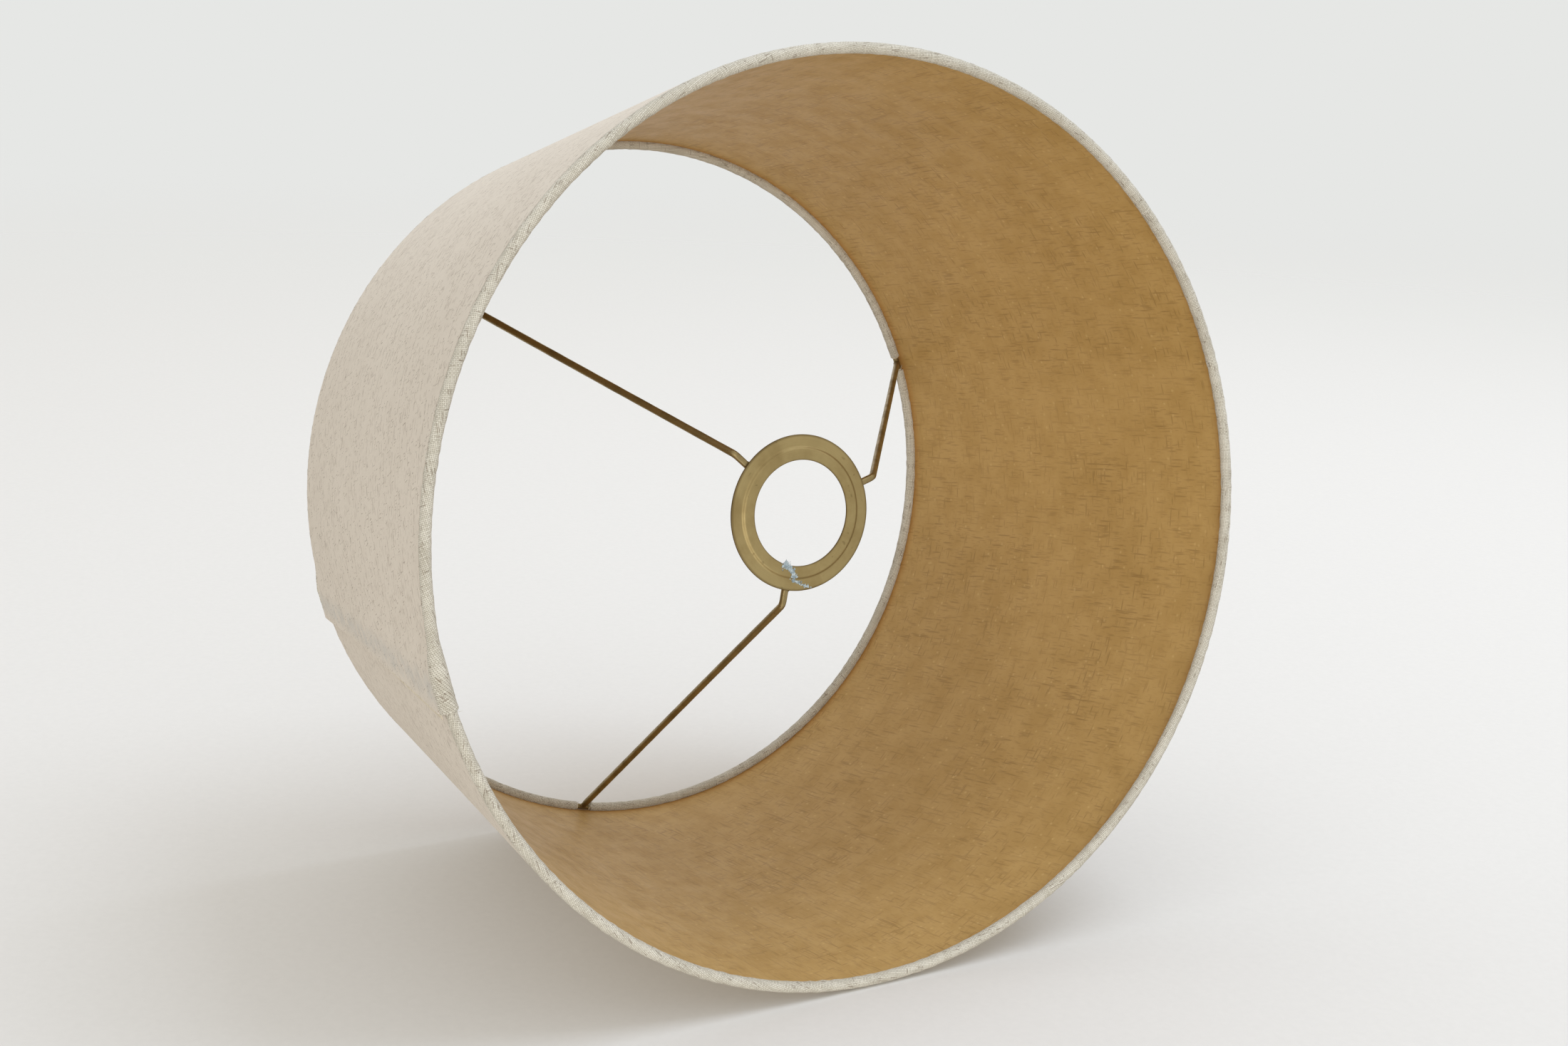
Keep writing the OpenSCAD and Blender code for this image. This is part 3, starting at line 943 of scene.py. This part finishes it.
stage = {
    "contactAngle": 17.8,  # where the shade lies on the floor, degrees round it
    "floorColour": colour(223, 223, 222),
    "floorGrain": colour(217, 217, 216),
    "backColour": colour(230, 231, 229),
    "skyStrength": 0.95,
    "skyTint": (1.0, 0.97, 0.92, 1),
    "groundTint": (0.405, 0.352, 0.28, 1),
    "fadeOut": (0.8, 3.2),
    "floorReach": 14.0,
    "floorCells": 40,
}
# each light's place goes right, forward and up from where the shade touches the floor
boxes = {
    "overheadBox": {"place": (1.5, 0.6, 3.0), "size": 2.2, "power": 46.0, "tint": (0.80, 0.875, 1.0)},
    "frontBox": {"place": (0.1, -2.0, -0.5), "size": 1.6, "power": 24.0, "tint": (1.0, 0.97, 0.93)},
}
contact = math.radians(stage["contactAngle"])
floorDown = math.cos(lean) * outAndSide(contact)[0] + np.array([0, 0, math.sin(lean)])
floorUp = -floorDown
floorSpot = onPanel(np.array(contact), 0.0, slant / 2) + floorDown * (rollRadius + 0.25 * mm)

view = {"aim": (13.3 * mm, -11.1 * mm, 90.1 * mm), "distance": 0.8976, "azimuth": -147.2,
        "elevation": -58.9, "roll": -78.37, "lens": 50.0}


def makeCamera():
    # the camera looks at aim from azimuth and elevation, then turns about its own line of sight by roll
    azimuth, elevation, roll = (math.radians(view[k]) for k in ("azimuth", "elevation", "roll"))
    back = Vector((math.sin(azimuth) * math.cos(elevation), -math.cos(azimuth) * math.cos(elevation),
                   math.sin(elevation)))
    level = (-back).cross(Vector((0, 0, 1))).normalized()
    upright = level.cross(-back)
    up = upright * math.cos(roll) - level * math.sin(roll)
    right = (-back).cross(up)
    data = bpy.data.cameras.new("camera")
    data.lens, data.sensor_width, data.sensor_fit = view["lens"], 36.0, "HORIZONTAL"
    data.clip_start, data.clip_end = 0.01, 200
    camera = bpy.data.objects.new("camera", data)
    bpy.context.scene.collection.objects.link(camera)
    turned = Matrix((right, up, back)).transposed().to_4x4()
    camera.matrix_world = Matrix.Translation(Vector(view["aim"]) + back * view["distance"]) @ turned
    bpy.context.scene.camera = camera
    return -np.array(back)


camForward = makeCamera()
floorForward = camForward - floorUp * (camForward @ floorUp)
floorForward /= np.linalg.norm(floorForward)
floorRight = np.cross(floorForward, floorUp)


def makeFloor():
    # a wide pale plane under the shade as it lies; it melts into the background far off and from behind
    share = np.linspace(-1, 1, stage["floorCells"] + 1)
    reach = stage["floorReach"] * np.sign(share) * share ** 2
    points = floorSpot + reach[:, None, None] * floorRight + reach[None, :, None] * floorForward
    faces = gridFaces(len(reach), len(reach))
    mesh = bpy.data.meshes.new("floor")
    mesh.from_pydata(points.reshape(-1, 3).tolist(), [], faces.tolist())
    mesh.update()
    if Vector(mesh.polygons[0].normal).dot(Vector(floorUp)) < 0:
        mesh.flip_normals()
    floor = bpy.data.objects.new("floor", mesh)
    bpy.context.scene.collection.objects.link(floor)
    floor.visible_shadow = False  # so the side that lies on it is still lit in the other views
    floor.visible_diffuse = False
    material, tree, shader = newMaterial("studioFloor", 0.75, specular=0.15)
    place = put(tree, "TexCoord").outputs["Object"]
    grain = noise(tree, place, 300.0, 3.0, 0.6)
    base = mixColour(tree, grain, stage["floorColour"], stage["floorGrain"])
    tree.links.new(base, shader.inputs["Base Color"])
    away = put(tree, "VectorMath", {0: place}, operation="LENGTH").outputs["Value"]
    fade = band(tree, away, *stage["fadeOut"])
    behind = put(tree, "NewGeometry").outputs["Backfacing"]
    clear = put(tree, "BsdfTransparent").outputs[0]
    share = sums(tree, "MAXIMUM", fade, behind)
    mixed = put(tree, "MixShader", {0: share, 1: shader.outputs[0], 2: clear}).outputs[0]
    tree.links.new(mixed, tree.nodes["Material Output"].inputs["Surface"])
    mesh.materials.append(material)


def makeLight(name):
    # a square soft box that faces the shade
    box = boxes[name]
    data = bpy.data.lights.new(name, "AREA")
    data.shape, data.size, data.energy, data.color = "SQUARE", box["size"], box["power"], box["tint"]
    light = bpy.data.objects.new(name, data)
    bpy.context.scene.collection.objects.link(light)
    right, forward, up = box["place"]
    spot = Vector(floorSpot + right * floorRight + forward * floorForward + up * floorUp)
    light.location = spot
    light.rotation_mode = "QUATERNION"
    light.rotation_quaternion = (Vector((0, 0, 0.1)) - spot).to_track_quat("-Z", "Y")
    light.visible_camera = False


def makeWorld():
    # soft light from everywhere; what the camera sees past the floor is the floor's own pale tone
    world = bpy.data.worlds.new("studio")
    bpy.context.scene.world = world
    world.use_nodes = True
    tree = world.node_tree
    light = tree.nodes["Background"]
    # below the plane of the floor the light is dimmer and warmer, like light off the floor itself
    direction = put(tree, "TexCoord").outputs["Generated"]
    both = {0: direction, 1: floorUp.tolist()}
    height = put(tree, "VectorMath", both, operation="DOT_PRODUCT").outputs["Value"]
    tint = mixColour(tree, band(tree, height, -0.12, 0.12), stage["groundTint"], stage["skyTint"])
    tree.links.new(tint, light.inputs["Color"])
    light.inputs["Strength"].default_value = stage["skyStrength"]
    seen = put(tree, "Background", {"Color": stage["backColour"], "Strength": 1.0}).outputs[0]
    isCamera = put(tree, "LightPath").outputs["Is Camera Ray"]
    mixed = put(tree, "MixShader", {0: isCamera, 1: light.outputs[0], 2: seen}).outputs[0]
    tree.links.new(mixed, tree.nodes["World Output"].inputs["Surface"])


makeFloor()
for name in boxes:
    makeLight(name)
makeWorld()
bpy.context.scene.view_settings.view_transform = "Standard"
print("stage made")
